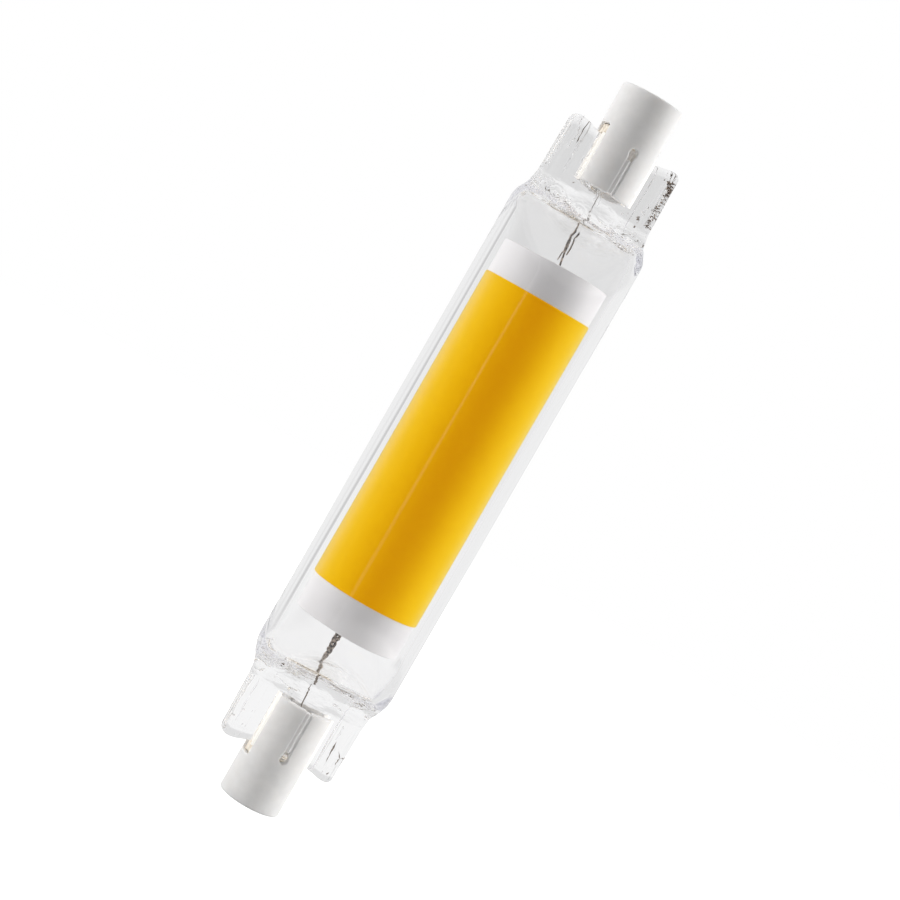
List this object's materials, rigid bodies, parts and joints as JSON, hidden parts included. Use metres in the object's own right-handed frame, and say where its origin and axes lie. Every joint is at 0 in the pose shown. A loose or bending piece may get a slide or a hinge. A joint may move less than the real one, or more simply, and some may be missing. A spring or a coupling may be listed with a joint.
{
  "type": "linear led bulb",
  "caption": "Double-ended linear LED lamp: a clear glass tube with pressed ends, slotted ceramic caps with recessed contacts, and a phosphor-coated ceramic tube inside.",
  "frame": {"origin": "centre of the lower ceramic cap's end, the face the lamp stands on", "axes": "+Z along the lamp's axis to the other cap, +X across the wide direction of both presses, +Y through a press"},
  "size_m": [0.0144, 0.0144, 0.078],
  "materials": {
    "clear_glass": "clear, fire-polished",
    "cap_ceramic": "white, satin, unglazed",
    "contact_metal": "nickel-plated, bright",
    "lead_wire": "drawn nickel wire, satin",
    "seal_wire": "thin copper-clad wire in the glass",
    "cement": "pale tan cement, matte",
    "tube_ceramic": "white, smooth",
    "phosphor": "yellow silicone with phosphor, soft satin",
    "chip": "small bare chip",
    "insulating_disc": "white, matte",
    "circuit_board": "green board",
    "moulded_package": "black moulded package with tinned legs",
    "resistor_body": "coated resistor",
    "resistor_chip": "chip resistor",
    "capacitor_ceramic": "tan chip capacitor"
  },
  "bodies": {
    "root": {"glass_envelope": "clear_glass", "ceramic_cap_lower": "cap_ceramic", "contact_stud_lower": "contact_metal", "outer_lead_lower": "lead_wire", "cap_cement_lower": "cement", "seal_wire_lower": "seal_wire", "inner_lead_lower": "lead_wire", "board_lead_lower": "lead_wire", "end_disc_lower": "insulating_disc", "ceramic_cap_upper": "cap_ceramic", "contact_stud_upper": "contact_metal", "outer_lead_upper": "lead_wire", "cap_cement_upper": "cement", "seal_wire_upper": "seal_wire", "inner_lead_upper": "lead_wire", "board_lead_upper": "lead_wire", "end_disc_upper": "insulating_disc", "carrier_tube": "tube_ceramic", "phosphor_sleeve": "phosphor", "led_chips": "chip", "driver_board": "circuit_board", "bridge_rectifier": "moulded_package", "current_regulators": "moulded_package", "fuse_resistor": "resistor_body", "sense_resistors": "resistor_chip", "chip_capacitor": "capacitor_ceramic"}
  },
  "joints": []
}
